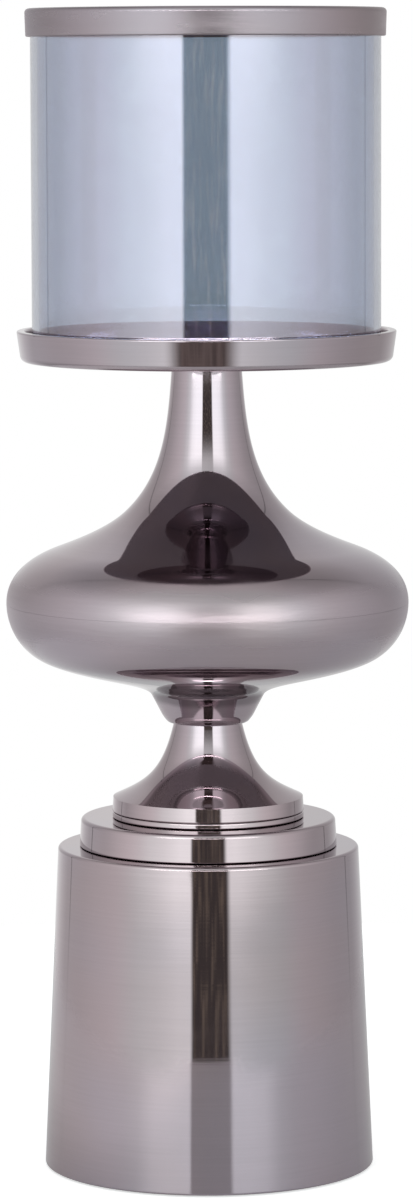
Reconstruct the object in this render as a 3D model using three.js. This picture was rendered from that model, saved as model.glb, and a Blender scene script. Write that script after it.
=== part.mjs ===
// A hurricane candle holder: a stepped, turned metal stand, a tray on its neck, a glass cylinder standing in
// the tray and a loose metal ring on the glass. Millimetres, +Z up, with the origin on the axis at the surface
// that it stands on. Every turned piece is one closed profile of [radius, height] points, revolved.
import * as THREE from "three";

// How finely round things are divided
const AROUND = 36;
const SMALL_AROUND = 24;
const CORNER_STEPS = 3;
const FINE_CORNER = 1; // corners rounded no more than this are cut off straight

// Clearances
const seat = 0.3; // between pieces that rest on each other
const rodClearance = 0.4; // round the tie rod, in each hole that it passes

// Walls
const sheet = 2; // spun metal of the drum, step disc, foot and bulb
const plateEdge = 0.5; // rounding of the fine edges on each side of a groove

// Felt pads and drum
const padRadius = 4.5;
const padThickness = 1.5;
const padCount = 4;
const padInset = 1; // from the inside of the drum's rim
const drumRimLift = 0.8; // the shadow gap under the drum's rim
const drumHeight = 141.2;
const drumTopRadius = 66;
const drumSplay = 6.5; // how much the drum widens from its top to its foot
const drumShoulder = 1.4; // rounding of the top edge
const footFlangeWidth = 11;

// Step disc and foot plate
const stepHeight = 12.3;
const stepTopRadius = 55.8;
const stepSplay = 0.8;
const stepShoulder = 1.8;
const plateThickness = 2.3;
const locatorHeight = 1.4; // the raised step on the foot plate that centres the foot

// Flared foot
const footRadius = 42.1;
const footBandHeight = 6.2;
const footHeight = 41.6;
const footNeckRadius = 15;
const footNeckLean = 13; // degrees from upright where the flare starts under the neck
const footFlareLean = 65.5; // degrees from upright where the flare meets the band
const footNeckPull = 22.5; // handle lengths of the flare's curve
const footFlarePull = 15.6;
const footSpigotHeight = 3; // the part of the neck that sits up inside the bulb's collar

// Bulb
const collarFace = 2.1; // width of the collar's flat underside, round the foot's neck
const collarCorner = 1.5;
const collarLipWidth = 2.4; // how far the lip stands out past the flat underside
const collarLipHeight = 3;
const collarSplay = 4.87; // how much the collar widens above its lip
const collarHeight = 12.4;
const collarLean = 28.8; // degrees from upright at the top of the collar
const collarPull = 6.4;
const underRadius = 71.5; // where the rounded side turns into the flat underside
const underHeight = 27.5;
const underLean = 66.2;
const underSidePull = 13.9;
const underFlatPull = 16;
const bulbRadius = 88;
const equatorHeight = 53;
const sidePullDown = 7.9;
const sidePullUp = 11.5;
const shoulderRadius = 66.6; // where the rounded side turns into the sloping shoulder
const shoulderHeight = 76.6;
const shoulderLean = 69.6;
const shoulderSidePull = 13.4;
const shoulderFlarePull = 9.2;
const flareRadius = 35.9; // where the shoulder starts to rise into the neck
const flareHeight = 92.7;
const flareLean = 46.7;
const flareShoulderPull = 10.9;
const flareNeckPull = 23.6;
const neckRadius = 15.1;
const neckLean = 4;
const neckPull = 27.5;
const bulbHeight = 158.2;
const lipHeight = 3.2; // the lower half's lip inside the upper half
const lipSet = 1.2; // how far the lip stands in from the upper half's wall

// Tray and hub
const trayHeight = 13.5;
const trayRimGap = 3.25; // between the glass and the rim's top edge
const trayRimWall = 3.7;
const traySplay = 2.05; // how much the tray widens from its floor to its rim
const trayCorner = 2.4;
const trayRimEdge = 0.8;
const trayGrooveFloor = 3;
const traySeatFloor = 5.4; // thickness under the candle
const hubHeight = 20;
const hubClearance = 0.3;
const hubBoreDepth = 16;

// Glass, its gaskets and the ring
const glassRadius = 76;
const glassWall = 3;
const glassHeight = 145.3;
const glassEdge = 1;
const gasketThickness = 0.8;
const gasketInset = 0.2; // how far a gasket stands in from each face of the glass
const seatRadiusClearance = 0.7; // between the glass and the raised seat inside it
const ringHeight = 12.2;
const ringWall = 1.6;
const ringSplay = 0.4; // how much thicker the ring's skirt is at its top
const ringCorner = 2;
const ringClearance = 0.4; // between the ring and each face of the glass
const ringInnerDepth = 8;

// Fastening
const rodRadius = 4;
const rodChamfer = 0.8;
const rodBelowNut = 8;
const washerRadius = 20;
const washerThickness = 2;
const lockWasherRadius = 7.2;
const lockWasherThickness = 2;
const lockWasherSlit = 1.2;
const nutAcrossFlats = 13;
const nutHeight = 6.5;

// Heights, stacked from the surface upwards
const drumBottom = drumRimLift;
const drumTop = drumBottom + drumHeight;
const flangeUnderside = padThickness + seat;
const stepBottom = drumTop + seat;
const stepTop = stepBottom + stepHeight;
const plateBottom = stepTop + seat;
const plateTop = plateBottom + plateThickness;
const footBottom = plateTop + seat;
const footTop = footBottom + footHeight;
const collarRecess = footTop + seat;
const bulbBottom = footTop - footSpigotHeight + seat;
const equator = bulbBottom + equatorHeight;
const neckTop = bulbBottom + bulbHeight;
const trayBottom = neckTop + seat;
const trayRim = trayBottom + trayHeight;
const glassSeat = trayBottom + trayGrooveFloor + seat;
const glassBottom = glassSeat + gasketThickness + seat;
const glassTop = glassBottom + glassHeight;
const channelRoof = glassTop + seat + gasketThickness + seat;
const ringTop = channelRoof + ringWall;
const ringBottom = ringTop - ringHeight;
const drumCeiling = drumTop - sheet;
const washerBottom = drumCeiling - seat - washerThickness;
const lockWasherBottom = washerBottom - seat - lockWasherThickness;
const nutBottom = lockWasherBottom - seat - nutHeight;
const rodBottom = nutBottom - rodBelowNut;
const hubTop = trayBottom - seat;
const hubBottom = hubTop - hubHeight;
const rodTop = hubBottom + hubBoreDepth - seat;

// Radii that follow from the sizes above
const rodHole = rodRadius + rodClearance;
const drumBottomRadius = drumTopRadius + drumSplay;
const collarBore = footNeckRadius + seat;
const collarRadius = collarBore + collarFace;
const collarLipRadius = collarRadius + collarLipWidth;
const collarTopRadius = collarLipRadius + collarSplay;
const glassInner = glassRadius - glassWall;
const trayRimRadius = glassRadius + trayRimGap + trayRimWall;

// Materials
const darkNickel = () => new THREE.MeshStandardMaterial({ color: 0x9c949b, metalness: 1, roughness: 0.14 });
const satinNickel = () => new THREE.MeshStandardMaterial({ color: 0x9c949b, metalness: 1, roughness: 0.3 });
const smokedGlass = () =>
  new THREE.MeshStandardMaterial({
    color: 0xb9bccb,
    metalness: 0,
    roughness: 0.05,
    transparent: true,
    opacity: 0.6,
  });
const zincSteel = () => new THREE.MeshStandardMaterial({ color: 0xa9aaa8, metalness: 1, roughness: 0.4 });
const clearSilicone = () => new THREE.MeshStandardMaterial({ color: 0xc9ccd0, metalness: 0, roughness: 0.6 });
const blackFelt = () => new THREE.MeshStandardMaterial({ color: 0x1d1c1e, metalness: 0, roughness: 0.95 });

const holder = new THREE.Group();

function addPiece(name, geometry, material) {
  const mesh = new THREE.Mesh(geometry, material);
  mesh.name = name;
  holder.add(mesh);
  return mesh;
}

// Profiles

const degrees = (angle) => THREE.MathUtils.degToRad(angle);

// A corner of a profile, rounded to the given radius.
const corner = (r, z, round = 0) => ({ point: new THREE.Vector2(r, z), round });

// The points of a profile's corners, with each rounded corner as a short arc.
function roundCorners(corners) {
  return corners.flatMap(({ point, round }, i) => {
    if (round === 0) return [point];
    const before = corners.at(i - 1).point.clone().sub(point);
    const after = corners[(i + 1) % corners.length].point.clone().sub(point);
    const half = Math.acos(before.dot(after) / (before.length() * after.length())) / 2;
    const reach = round / Math.tan(half);
    const start = point.clone().addScaledVector(before, reach / before.length());
    const end = point.clone().addScaledVector(after, reach / after.length());
    const steps = round > FINE_CORNER ? CORNER_STEPS : 1;
    return new THREE.QuadraticBezierCurve(start, point, end).getPoints(steps);
  });
}

// A smooth stretch of a profile going down from one point to another. A lean is the angle from upright at
// that end, outwards if positive, and a pull is the length of the curve's handle there.
function sweep(from, fromLean, fromPull, to, toLean, toPull, steps) {
  const along = (lean) => new THREE.Vector2(Math.sin(degrees(lean)), -Math.cos(degrees(lean)));
  return new THREE.CubicBezierCurve(
    from,
    from.clone().addScaledVector(along(fromLean), fromPull),
    to.clone().addScaledVector(along(toLean), -toPull),
    to,
  ).getPoints(steps);
}

// The inner face of a wall, with each point of the outer face moved in, square to the curve. Its two ends stay
// level with the ends of the outer face, so that the wall's edges are flat.
function inset(points, wall) {
  const last = points.length - 1;
  return points.map((point, i) => {
    const along = points[Math.min(i + 1, last)].clone().sub(points[Math.max(i - 1, 0)]).normalize();
    if (i === 0 || i === last) return new THREE.Vector2(point.x + wall / along.y, point.y);
    return new THREE.Vector2(point.x + along.y * wall, point.y - along.x * wall);
  });
}

// The profile turned round the axis, with its faces pointing out. One that starts on the axis also ends there,
// and any other closes on itself.
function revolve(points, around = AROUND) {
  const path = points[0].x === 0 ? [...points] : [...points, points[0].clone()];
  if (THREE.ShapeUtils.isClockWise(points)) path.reverse();
  return new THREE.LatheGeometry(path, around).rotateX(Math.PI / 2);
}

const turned = (corners, around) => revolve(roundCorners(corners), around);

// A flat ring or washer
const flatRing = (inner, outer, bottom, height, around) =>
  turned(
    [
      corner(inner, bottom),
      corner(outer, bottom),
      corner(outer, bottom + height),
      corner(inner, bottom + height),
    ],
    around,
  );

// Stand

function drum() {
  const outerAt = (z) => drumTopRadius + (drumSplay * (drumTop - z)) / drumHeight;
  const innerAt = (z) => outerAt(z) - sheet;
  const flangeTop = flangeUnderside + sheet;
  const flangeInner = innerAt(flangeTop) - footFlangeWidth;
  return turned([
    corner(rodHole, drumTop),
    corner(rodHole, drumCeiling),
    corner(innerAt(drumCeiling), drumCeiling),
    corner(innerAt(flangeTop), flangeTop),
    corner(flangeInner, flangeTop),
    corner(flangeInner, flangeUnderside),
    corner(innerAt(flangeUnderside), flangeUnderside),
    corner(innerAt(drumBottom), drumBottom),
    corner(outerAt(drumBottom), drumBottom, plateEdge),
    corner(drumTopRadius, drumTop, drumShoulder),
  ]);
}

function feltPads() {
  const ringRadius = drumBottomRadius - sheet - padInset - padRadius;
  for (let i = 0; i < padCount; i++) {
    const angle = ((i + 0.5) * 2 * Math.PI) / padCount;
    const geometry = new THREE.CylinderGeometry(padRadius, padRadius, padThickness, SMALL_AROUND);
    const pad = addPiece(`felt_pad_${i + 1}`, geometry.rotateX(Math.PI / 2), blackFelt());
    pad.position.set(ringRadius * Math.cos(angle), ringRadius * Math.sin(angle), padThickness / 2);
  }
}

function stepDisc() {
  const ceiling = stepTop - sheet;
  const bottomRadius = stepTopRadius + stepSplay;
  return turned([
    corner(rodHole, stepTop),
    corner(rodHole, ceiling),
    corner(stepTopRadius - sheet, ceiling),
    corner(bottomRadius - sheet, stepBottom),
    corner(bottomRadius, stepBottom, plateEdge),
    corner(stepTopRadius, stepTop, stepShoulder),
  ]);
}

function footPlate() {
  const locatorRadius = footRadius - sheet - seat;
  return turned([
    corner(rodHole, plateBottom),
    corner(footRadius, plateBottom, plateEdge),
    corner(footRadius, plateTop, plateEdge),
    corner(locatorRadius, plateTop),
    corner(locatorRadius, plateTop + locatorHeight),
    corner(rodHole, plateTop + locatorHeight),
  ]);
}

function footCone() {
  const bandTop = footBottom + footBandHeight;
  const flare = sweep(
    new THREE.Vector2(footNeckRadius, footTop - footSpigotHeight),
    footNeckLean,
    footNeckPull,
    new THREE.Vector2(footRadius - plateEdge, bandTop + plateEdge / 2),
    footFlareLean,
    footFlarePull,
    8,
  );
  const ceiling = footTop - sheet;
  const lining = inset(flare, sheet).filter((p) => p.y < ceiling - sheet && p.x < footRadius - 2 * sheet);
  const band = roundCorners([
    corner(footRadius, bandTop),
    corner(footRadius, footBottom, plateEdge),
    corner(footRadius - sheet, footBottom),
    corner(footRadius - sheet, bandTop - sheet),
  ]);
  return revolve([
    new THREE.Vector2(rodHole, footTop),
    new THREE.Vector2(footNeckRadius, footTop),
    ...flare,
    ...band,
    ...lining.reverse(),
    new THREE.Vector2(footNeckRadius - sheet, ceiling),
    new THREE.Vector2(rodHole, ceiling),
  ]);
}

function lowerBulb() {
  const under = new THREE.Vector2(underRadius, bulbBottom + underHeight);
  const rim = new THREE.Vector2(bulbRadius, equator - seat / 2);
  const collarTop = new THREE.Vector2(collarTopRadius, bulbBottom + collarHeight);
  const side = sweep(rim, 0, sidePullDown, under, -underLean, underSidePull, 6);
  const flat = sweep(under, -underLean, underFlatPull, collarTop, -collarLean, collarPull, 6);
  const outer = [...side, ...flat.slice(1)];
  const floor = collarRecess + sheet;
  const lining = inset(outer, sheet).filter((p) => p.y < equator - 2 * sheet && p.y > floor + seat);
  const collar = roundCorners([
    corner(collarTopRadius, collarTop.y),
    corner(collarLipRadius, bulbBottom + collarLipHeight, collarCorner),
    corner(collarRadius, bulbBottom, collarCorner),
    corner(collarBore, bulbBottom),
    corner(collarBore, collarRecess),
    corner(rodHole, collarRecess),
    corner(rodHole, floor),
    corner(collarBore + sheet, floor),
  ]);
  const lip = bulbRadius - sheet - lipSet;
  const lipTop = equator + lipHeight;
  return revolve([
    ...outer,
    ...collar.slice(1),
    ...lining.reverse(),
    new THREE.Vector2(lip - sheet, equator - sheet),
    new THREE.Vector2(lip - sheet, lipTop),
    new THREE.Vector2(lip, lipTop),
    new THREE.Vector2(lip, equator - seat / 2),
  ]);
}

function upperBulb() {
  const neck = new THREE.Vector2(neckRadius, neckTop);
  const flare = new THREE.Vector2(flareRadius, bulbBottom + flareHeight);
  const shoulder = new THREE.Vector2(shoulderRadius, bulbBottom + shoulderHeight);
  const rim = new THREE.Vector2(bulbRadius, equator + seat / 2);
  const down = sweep(neck, neckLean, neckPull, flare, flareLean, flareNeckPull, 7);
  const slope = sweep(flare, flareLean, flareShoulderPull, shoulder, shoulderLean, shoulderFlarePull, 3);
  const round = sweep(shoulder, shoulderLean, shoulderSidePull, rim, 0, sidePullUp, 6);
  const outer = [...down, ...slope.slice(1), ...round.slice(1)];
  return revolve([...outer, ...inset(outer, sheet).reverse()]);
}

// Tray and hub

function tray() {
  const innerTop = trayRimRadius - trayRimWall;
  const grooveFloor = trayBottom + trayGrooveFloor;
  const seatTop = trayBottom + traySeatFloor;
  const seatRadius = glassInner - seatRadiusClearance;
  const innerBottom = innerTop - (traySplay * (trayRim - grooveFloor)) / trayHeight;
  return turned([
    corner(0, trayBottom),
    corner(trayRimRadius - traySplay, trayBottom, trayCorner),
    corner(trayRimRadius, trayRim, trayRimEdge),
    corner(innerTop, trayRim, trayRimEdge),
    corner(innerBottom, grooveFloor),
    corner(seatRadius, grooveFloor),
    corner(seatRadius, seatTop, plateEdge),
    corner(0, seatTop),
  ]);
}

function trayHub() {
  const outer = neckRadius - sheet - hubClearance;
  return turned(
    [
      corner(0, hubTop),
      corner(outer, hubTop),
      corner(outer, hubBottom, plateEdge),
      corner(rodHole, hubBottom),
      corner(rodHole, hubBottom + hubBoreDepth),
      corner(0, hubBottom + hubBoreDepth),
    ],
    AROUND,
  );
}

// Fastening on the axis

function tieRod() {
  return turned(
    [
      corner(0, rodBottom),
      corner(rodRadius - rodChamfer, rodBottom),
      corner(rodRadius, rodBottom + rodChamfer),
      corner(rodRadius, rodTop - rodChamfer),
      corner(rodRadius - rodChamfer, rodTop),
      corner(0, rodTop),
    ],
    SMALL_AROUND,
  );
}

// A shape of constant section standing on the given height
function upright(outline, bottom, height) {
  const geometry = new THREE.ExtrudeGeometry(outline, {
    depth: height,
    bevelEnabled: false,
    curveSegments: SMALL_AROUND,
  });
  return geometry.translate(0, 0, bottom);
}

function lockWasher() {
  const halfSlit = lockWasherSlit / 2;
  const outerStart = Math.asin(halfSlit / lockWasherRadius);
  const innerStart = Math.asin(halfSlit / rodHole);
  const outline = new THREE.Shape();
  outline.absarc(0, 0, lockWasherRadius, outerStart, 2 * Math.PI - outerStart, false);
  outline.absarc(0, 0, rodHole, 2 * Math.PI - innerStart, innerStart, true);
  return upright(outline, lockWasherBottom, lockWasherThickness);
}

function hexNut() {
  const acrossCorners = nutAcrossFlats / 2 / Math.cos(Math.PI / 6);
  const vertices = [...Array(6)].map((_, i) => {
    const angle = (i * Math.PI) / 3;
    return new THREE.Vector2(acrossCorners * Math.cos(angle), acrossCorners * Math.sin(angle));
  });
  const outline = new THREE.Shape(vertices);
  outline.holes.push(new THREE.Path().absarc(0, 0, rodHole, 0, 2 * Math.PI, true));
  return upright(outline, nutBottom, nutHeight);
}

// Glass and ring

function glassCylinder() {
  return turned([
    corner(glassInner, glassBottom, glassEdge),
    corner(glassRadius, glassBottom, glassEdge),
    corner(glassRadius, glassTop, glassEdge),
    corner(glassInner, glassTop, glassEdge),
  ]);
}

const gasket = (bottom) =>
  flatRing(glassInner + gasketInset, glassRadius - gasketInset, bottom, gasketThickness, AROUND);

function topRing() {
  const skirtInner = glassRadius + ringClearance;
  const skirtOuter = skirtInner + ringWall;
  const hookOuter = glassInner - ringClearance;
  const hookInner = hookOuter - ringWall;
  return turned([
    corner(skirtOuter + ringSplay, ringTop, ringCorner),
    corner(hookInner, ringTop, ringCorner),
    corner(hookInner, ringTop - ringInnerDepth),
    corner(hookOuter, ringTop - ringInnerDepth),
    corner(hookOuter, channelRoof),
    corner(skirtInner, channelRoof),
    corner(skirtInner, ringBottom),
    corner(skirtOuter, ringBottom, plateEdge),
  ]);
}

addPiece("base_drum", drum(), satinNickel());
feltPads();
addPiece("step_disc", stepDisc(), darkNickel());
addPiece("foot_plate", footPlate(), darkNickel());
addPiece("foot_cone", footCone(), darkNickel());
addPiece("lower_bulb", lowerBulb(), darkNickel());
addPiece("upper_bulb", upperBulb(), darkNickel());
addPiece("tray_hub", trayHub(), zincSteel());
addPiece("tray", tray(), darkNickel());
addPiece("tie_rod", tieRod(), zincSteel());
addPiece("base_washer", flatRing(rodHole, washerRadius, washerBottom, washerThickness, SMALL_AROUND), zincSteel());
addPiece("lock_washer", lockWasher(), zincSteel());
addPiece("hex_nut", hexNut(), zincSteel());
addPiece("glass_gasket", gasket(glassSeat), clearSilicone());
addPiece("glass_cylinder", glassCylinder(), smokedGlass());
addPiece("ring_gasket", gasket(glassTop + seat), clearSilicone());
addPiece("top_ring", topRing(), darkNickel());

export default holder;
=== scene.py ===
# A hurricane candle holder in polished dark nickel and smoked mirror glass. Metres, +Z up.
import math

import bmesh
import bpy
from mathutils import Matrix, Vector
from mathutils.geometry import interpolate_bezier


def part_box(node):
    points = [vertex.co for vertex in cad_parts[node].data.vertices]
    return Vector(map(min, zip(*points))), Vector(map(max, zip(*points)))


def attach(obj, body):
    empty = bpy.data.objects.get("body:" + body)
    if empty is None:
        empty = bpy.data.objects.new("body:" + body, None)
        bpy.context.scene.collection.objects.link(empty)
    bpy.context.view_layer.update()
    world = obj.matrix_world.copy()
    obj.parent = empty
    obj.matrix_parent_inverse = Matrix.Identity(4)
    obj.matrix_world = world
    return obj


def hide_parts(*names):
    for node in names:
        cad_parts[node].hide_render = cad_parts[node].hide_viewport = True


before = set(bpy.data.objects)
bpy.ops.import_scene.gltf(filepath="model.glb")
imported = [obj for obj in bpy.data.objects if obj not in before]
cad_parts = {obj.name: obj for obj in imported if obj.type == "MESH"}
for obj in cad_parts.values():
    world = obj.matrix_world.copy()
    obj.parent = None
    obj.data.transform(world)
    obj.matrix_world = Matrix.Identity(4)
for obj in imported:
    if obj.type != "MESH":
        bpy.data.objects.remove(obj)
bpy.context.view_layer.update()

# Fineness of the meshes
AROUND = 192
SMALL_AROUND = 48
CURVE_POINTS = 40
ROUNDING_STEPS = 5
HOLDING_DISTANCE = 0.00012
SHARP_ANGLE = math.radians(32)
WELD_DISTANCE = 0.000001
CUT_TOLERANCE = 0.0000001

# Sheet metal and clearances, as in the construction
SHEET = 0.002
FIT = 0.0003
ROD_HOLE = 0.0044

# Drum, step disc and foot plate
DRUM_TOP_RADIUS = 0.066
DRUM_SHOULDER = 0.0013
DRUM_FLANGE_HEIGHT = 0.0018
DRUM_FLANGE_WIDTH = 0.011
STEP_TOP_RADIUS = 0.0558
STEP_SHOULDER = 0.0016
PLATE_THICKNESS = 0.0023
LOCATOR_RADIUS = 0.0398
FINE_EDGE = 0.0004

# Flared foot: leans are in degrees from upright, and pulls are the lengths of the curve's handles
FOOT_NECK = (0.015, 13, 0.0225)
FOOT_FLARE = (0.0416, 65.5, 0.0156)
FOOT_BAND = 0.0062
BAND_SPLAY = 0.0735  # how far the band and the plate lean in for each metre up
FOOT_SPIGOT = 0.003

# Bulb: (radius, height over the bulb's lowest edge, lean, handle below, handle above)
BULB_COLLAR = (0.02467, 0.0124, -28.8, None, 0.0064)
BULB_UNDER = (0.0715, 0.0275, -66.2, 0.016, 0.0139)
BULB_EQUATOR = (0.088, 0.053, 0, 0.0079, 0.0115)
BULB_SHOULDER = (0.0666, 0.0766, 69.6, 0.0134, 0.0092)
BULB_FLARE = (0.0359, 0.0927, 46.7, 0.0109, 0.0236)
BULB_NECK = (0.0151, 0.1582, 4, 0.0275, None)
SEAM = 0.00006
COLLAR_FACE_RADIUS = 0.0174
COLLAR_LIP_RADIUS = 0.0198
COLLAR_LIP_HEIGHT = 0.003
COLLAR_ROUNDING = 0.0013

# Tray
TRAY_BOTTOM_RADIUS = 0.0809
TRAY_RIM_WALL = 0.0037
TRAY_CORNER = 0.0024
TRAY_GROOVE = 0.003
TRAY_SEAT = 0.0054
TRAY_SEAT_RADIUS = 0.0723

# Glass and ring
GLASS_WALL = 0.003
GLASS_EDGE = 0.0012
RING_WALL = 0.0016
RING_CORNER = 0.0019
RING_CLEARANCE = 0.0004
RING_HOOK = 0.008
RING_SPLAY = 0.0004

# Fastening
THREAD_PITCH = 0.00125
THREAD_DEPTH = 0.0007
HUB_BORE = 0.016
NUT_FLATS = 0.013
SPRING_RISE = 0.0005
SPRING_GAP = math.radians(10)
THREAD_STEPS = 24
SPRING_STEPS = 40
NUT_CUTS = 3

# Eased edges of the soft pads and the washers, as shares of their thickness
PAD_EDGE = 0.3
WASHER_EDGE = 0.2


def low(node):
    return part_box(node)[0].z


def high(node):
    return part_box(node)[1].z


def reach(node):
    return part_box(node)[1].x


# Meshes


def hold(edge, end):
    """Puts a point on a straight edge close to its end, which keeps the edge's shading flat."""
    length = edge.calc_length()
    if length > 3 * HOLDING_DISTANCE:
        bmesh.utils.edge_split(edge, end, HOLDING_DISTANCE / length)


def outline(corners, closed=True):
    """A chain of edges through (radius, height, rounding) corners. The rounding may be left out."""
    mesh = bmesh.new()
    verts = [mesh.verts.new((corner[0], 0, corner[1])) for corner in corners]
    for first, second in zip(verts, verts[1:] + verts[:1] if closed else verts[1:]):
        mesh.edges.new((first, second))
    for vert, corner in zip(verts, corners):
        if len(corner) > 2:
            arc = bmesh.ops.bevel(
                mesh,
                geom=[vert],
                offset=corner[2],
                offset_type="OFFSET",
                segments=ROUNDING_STEPS,
                profile=0.5,
                affect="VERTICES",
                material=-1,
            )["edges"]
            for end in {vert for edge in arc for vert in edge.verts}:
                for edge in end.link_edges:
                    if edge not in arc:
                        hold(edge, end)
    return mesh


def spin(mesh, around=AROUND):
    """Turns the outline round the axis into a closed skin whose faces point out."""
    bmesh.ops.spin(
        mesh,
        geom=mesh.verts[:] + mesh.edges[:],
        cent=(0, 0, 0),
        axis=(0, 0, 1),
        angle=2 * math.pi,
        steps=around,
        use_merge=True,
        use_duplicate=False,
    )
    bmesh.ops.remove_doubles(mesh, verts=mesh.verts, dist=WELD_DISTANCE)
    bmesh.ops.recalc_face_normals(mesh, faces=mesh.faces)


def finish_piece(name, mesh, body, slot, material, *nodes):
    """Makes the mesh an object that rides a body and stands for nodes of the construction."""
    for face in mesh.faces:
        face.smooth = True
    for edge in mesh.edges:
        edge.smooth = edge.calc_face_angle(math.pi) < SHARP_ANGLE
    data = bpy.data.meshes.new(name)
    mesh.to_mesh(data)
    mesh.free()
    data.materials.append(material)
    piece = bpy.data.objects.new(name, data)
    bpy.context.scene.collection.objects.link(piece)
    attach(piece, body)
    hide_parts(*nodes)


def sweep(start, end, start_lean, start_pull, end_lean, end_pull):
    """A smooth stretch of an outline going down from start to end, as (radius, height) points."""

    def along(lean):
        return Vector((math.sin(math.radians(lean)), -math.cos(math.radians(lean))))

    first, last = Vector(start), Vector(end)
    handle = first + along(start_lean) * start_pull
    other = last - along(end_lean) * end_pull
    corners = [Vector((p.x, p.y, 0)) for p in (first, handle, other, last)]
    return [(p.x, p.y) for p in interpolate_bezier(*corners, CURVE_POINTS)]


def lining(points, inwards, upwards):
    """The inside of a shell: its outer points, moved by these shares of the sheet's thickness."""
    return [(r - SHEET * inwards, z + SHEET * upwards) for r, z in points]


# Node trees


def put(tree, kind, *feeds, **settings):
    """A new node, with its settings made and its inputs fed in order by sockets or plain values."""
    node = tree.nodes.new("ShaderNode" + kind)
    for key, value in settings.items():
        setattr(node, key, value)
    for socket, feed in zip(node.inputs, feeds):
        if isinstance(feed, bpy.types.NodeSocket):
            tree.links.new(feed, socket)
        elif feed is not None:
            socket.default_value = feed
    return node


def calc(tree, operation, *feeds):
    return put(tree, "Math", *feeds, operation=operation).outputs[0]


def product(tree, first, *others):
    for other in others:
        first = calc(tree, "MULTIPLY", first, other)
    return first


def blend(tree, factor, first, second):
    return put(tree, "Mix", factor, None, first, second).outputs[0]


def blend_colours(tree, factor, first, second, kind="MIX"):
    feeds = [factor] + [None] * 5 + [first, second]
    return put(tree, "Mix", *feeds, data_type="RGBA", blend_type=kind).outputs[2]


def dimmed(tree, mask, colour, share):
    """The colour, with only this share of it left where the mask is 1."""
    dull = blend_colours(tree, 1.0, colour, (share, share, share, 1), "MULTIPLY")
    return blend_colours(tree, mask, colour, dull)


def grey(tree, value):
    return put(tree, "CombineXYZ", value, value, value).outputs[0]


def object_place(tree):
    return put(tree, "TexCoord").outputs["Object"]


def noise(tree, place, scale, detail, roughness, distortion=0.0):
    node = put(tree, "TexNoise", place, None, scale, detail, roughness)
    node.inputs["Distortion"].default_value = distortion
    return node.outputs[0]


def from_axis(tree, x, y):
    """The distance from the axis."""
    squares = calc(tree, "ADD", product(tree, x, x), product(tree, y, y))
    return calc(tree, "SQRT", squares)


def smooth_step(tree, value, start, end):
    """A smooth change from 0 at the start to 1 at the end, which may be the lower of the two."""
    settings = {"interpolation_type": "SMOOTHSTEP"}
    return put(tree, "MapRange", value, start, end, 0.0, 1.0, **settings).outputs[0]


def curve(tree, factor, points, scale=1.0):
    """A value that follows the given (factor, value) points. No value may be over the scale."""
    ramp = put(tree, "ValToRGB", factor)
    elements = ramp.color_ramp.elements
    while len(elements) < len(points):
        elements.new(0.5)
    for element, (place, value) in zip(elements, points):
        element.position = place
    for element, (place, value) in zip(elements, points):
        element.color = (value / scale, value / scale, value / scale, 1)
    return calc(tree, "MULTIPLY", ramp.outputs[0], scale)


def new_group(name, inputs, outputs):
    """An empty node group with number inputs, given as name to default, and the named outputs."""
    tree = bpy.data.node_groups.new(name, "ShaderNodeTree")
    number = "NodeSocketFloat"
    for label, default in inputs.items():
        socket = tree.interface.new_socket(name=label, in_out="INPUT", socket_type=number)
        socket.default_value = default
    for label in outputs:
        tree.interface.new_socket(name=label, in_out="OUTPUT", socket_type=number)
    return tree, tree.nodes.new("NodeGroupInput"), tree.nodes.new("NodeGroupOutput")


def use(tree, group, **values):
    node = tree.nodes.new("ShaderNodeGroup")
    node.node_tree = group
    for label, value in values.items():
        node.inputs[label].default_value = value
    return node


SLOPE_SHARE = 0.83  # lets the marks run on over level faces, where only the radius changes
WIDE_SHARE = 0.11  # the marks are this share as close together in the streaks of roughness
SPECK_FINENESS = 22.0  # how many times finer the specks are than the smears


def make_turned_marks():
    """Fine marks that run round the axis, as a lathe or a polishing mop leaves them."""
    inputs = {"Spacing": 0.0006, "Length": 0.05}
    tree, given, out = new_group("turned marks", inputs, ["Height", "Streak"])
    x, y, z = put(tree, "SeparateXYZ", object_place(tree)).outputs
    along = calc(tree, "ADD", z, product(tree, from_axis(tree, x, y), SLOPE_SHARE))
    grain = put(
        tree,
        "CombineXYZ",
        calc(tree, "DIVIDE", x, given.outputs["Length"]),
        calc(tree, "DIVIDE", y, given.outputs["Length"]),
        calc(tree, "DIVIDE", along, given.outputs["Spacing"]),
    ).outputs[0]
    wide = put(tree, "VectorMath", grain, (1, 1, WIDE_SHARE), operation="MULTIPLY").outputs[0]
    fine = calc(tree, "SUBTRACT", noise(tree, grain, 1.0, detail=3.0, roughness=0.6), 0.5)
    streak = smooth_step(tree, noise(tree, wide, 1.0, detail=2.0, roughness=0.5), 0.35, 0.68)
    tree.links.new(fine, out.inputs["Height"])
    tree.links.new(streak, out.inputs["Streak"])
    return tree


def make_waves():
    """The slow waves that spinning and hand polishing leave in a mirror finish, from -1 to 1."""
    tree, given, out = new_group("polishing waves", {"Size": 0.03}, ["Height"])
    scale = calc(tree, "DIVIDE", 1.0, given.outputs["Size"])
    waves = noise(tree, object_place(tree), scale, detail=1.0, roughness=0.4)
    tree.links.new(calc(tree, "MULTIPLY_ADD", waves, 2.0, -1.0), out.inputs["Height"])
    return tree


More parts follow.
